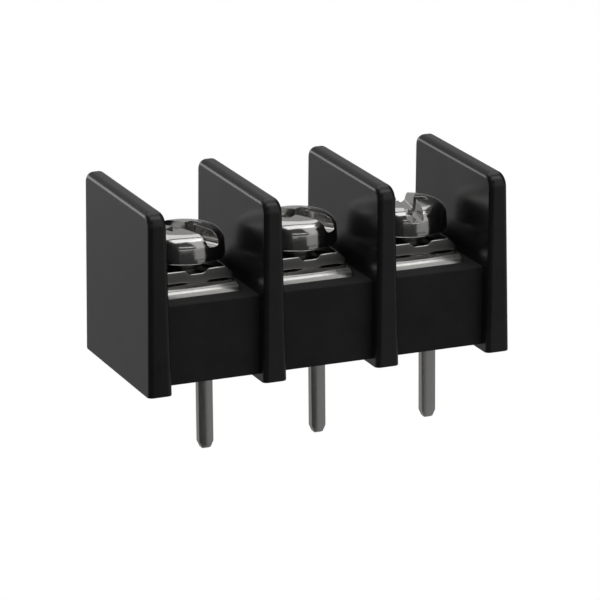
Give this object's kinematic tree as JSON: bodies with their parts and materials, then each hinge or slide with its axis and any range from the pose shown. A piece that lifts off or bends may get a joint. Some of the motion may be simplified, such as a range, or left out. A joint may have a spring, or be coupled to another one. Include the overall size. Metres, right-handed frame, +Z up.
{
  "type": "barrier terminal strip",
  "caption": "Moulded black strip of wire terminals with barrier walls between them; a screw and saddle clamp at each position holds a wire, and solder pins fix it to a circuit board.",
  "frame": {"origin": "middle of the strip on the board's top face, where the barriers' feet stand", "axes": "+X along the strip, +Z up away from the board, wire entry towards -Y"},
  "size_m": [0.0264, 0.0126, 0.0176],
  "materials": {
    "moulding": "moulded glass-filled thermoplastic, black, fine satin",
    "terminal_metal": "bright tin plate on brass",
    "clamp_metal": "bright nickel plate on steel",
    "screw_metal": "bright nickel plate on steel"
  },
  "bodies": {
    "housing": {"housing": "moulding", "terminal_1": "terminal_metal", "terminal_2": "terminal_metal", "terminal_3": "terminal_metal"},
    "clamp_1": {"clamp_1": "clamp_metal"},
    "screw_1": {"screw_1": "screw_metal"},
    "clamp_2": {"clamp_2": "clamp_metal"},
    "screw_2": {"screw_2": "screw_metal"},
    "clamp_3": {"clamp_3": "clamp_metal"},
    "screw_3": {"screw_3": "screw_metal"}
  },
  "joints": [
    {"name": "clamp_1_lift", "type": "slide", "parent": "housing", "child": "clamp_1", "axis": [0, 0, 1], "range_m": [0, 0.0025]},
    {"name": "screw_1_turn", "type": "hinge", "parent": "clamp_1", "child": "screw_1", "pos_m": [-0.00825, 0, 0.0065], "axis": [0, 0, 1], "range_deg": [0, 1800]},
    {"name": "clamp_2_lift", "type": "slide", "parent": "housing", "child": "clamp_2", "axis": [0, 0, 1], "range_m": [0, 0.0025]},
    {"name": "screw_2_turn", "type": "hinge", "parent": "clamp_2", "child": "screw_2", "pos_m": [0, 0, 0.0065], "axis": [0, 0, 1], "range_deg": [0, 1800]},
    {"name": "clamp_3_lift", "type": "slide", "parent": "housing", "child": "clamp_3", "axis": [0, 0, 1], "range_m": [0, 0.0025]},
    {"name": "screw_3_turn", "type": "hinge", "parent": "clamp_3", "child": "screw_3", "pos_m": [0.00825, 0, 0.0065], "axis": [0, 0, 1], "range_deg": [0, 1800]}
  ],
  "couplings": [
    {"joint": "screw_1_turn", "follows": "clamp_1_lift", "rad_per_m": 12566},
    {"joint": "screw_2_turn", "follows": "clamp_2_lift", "rad_per_m": 12566},
    {"joint": "screw_3_turn", "follows": "clamp_3_lift", "rad_per_m": 12566}
  ]
}
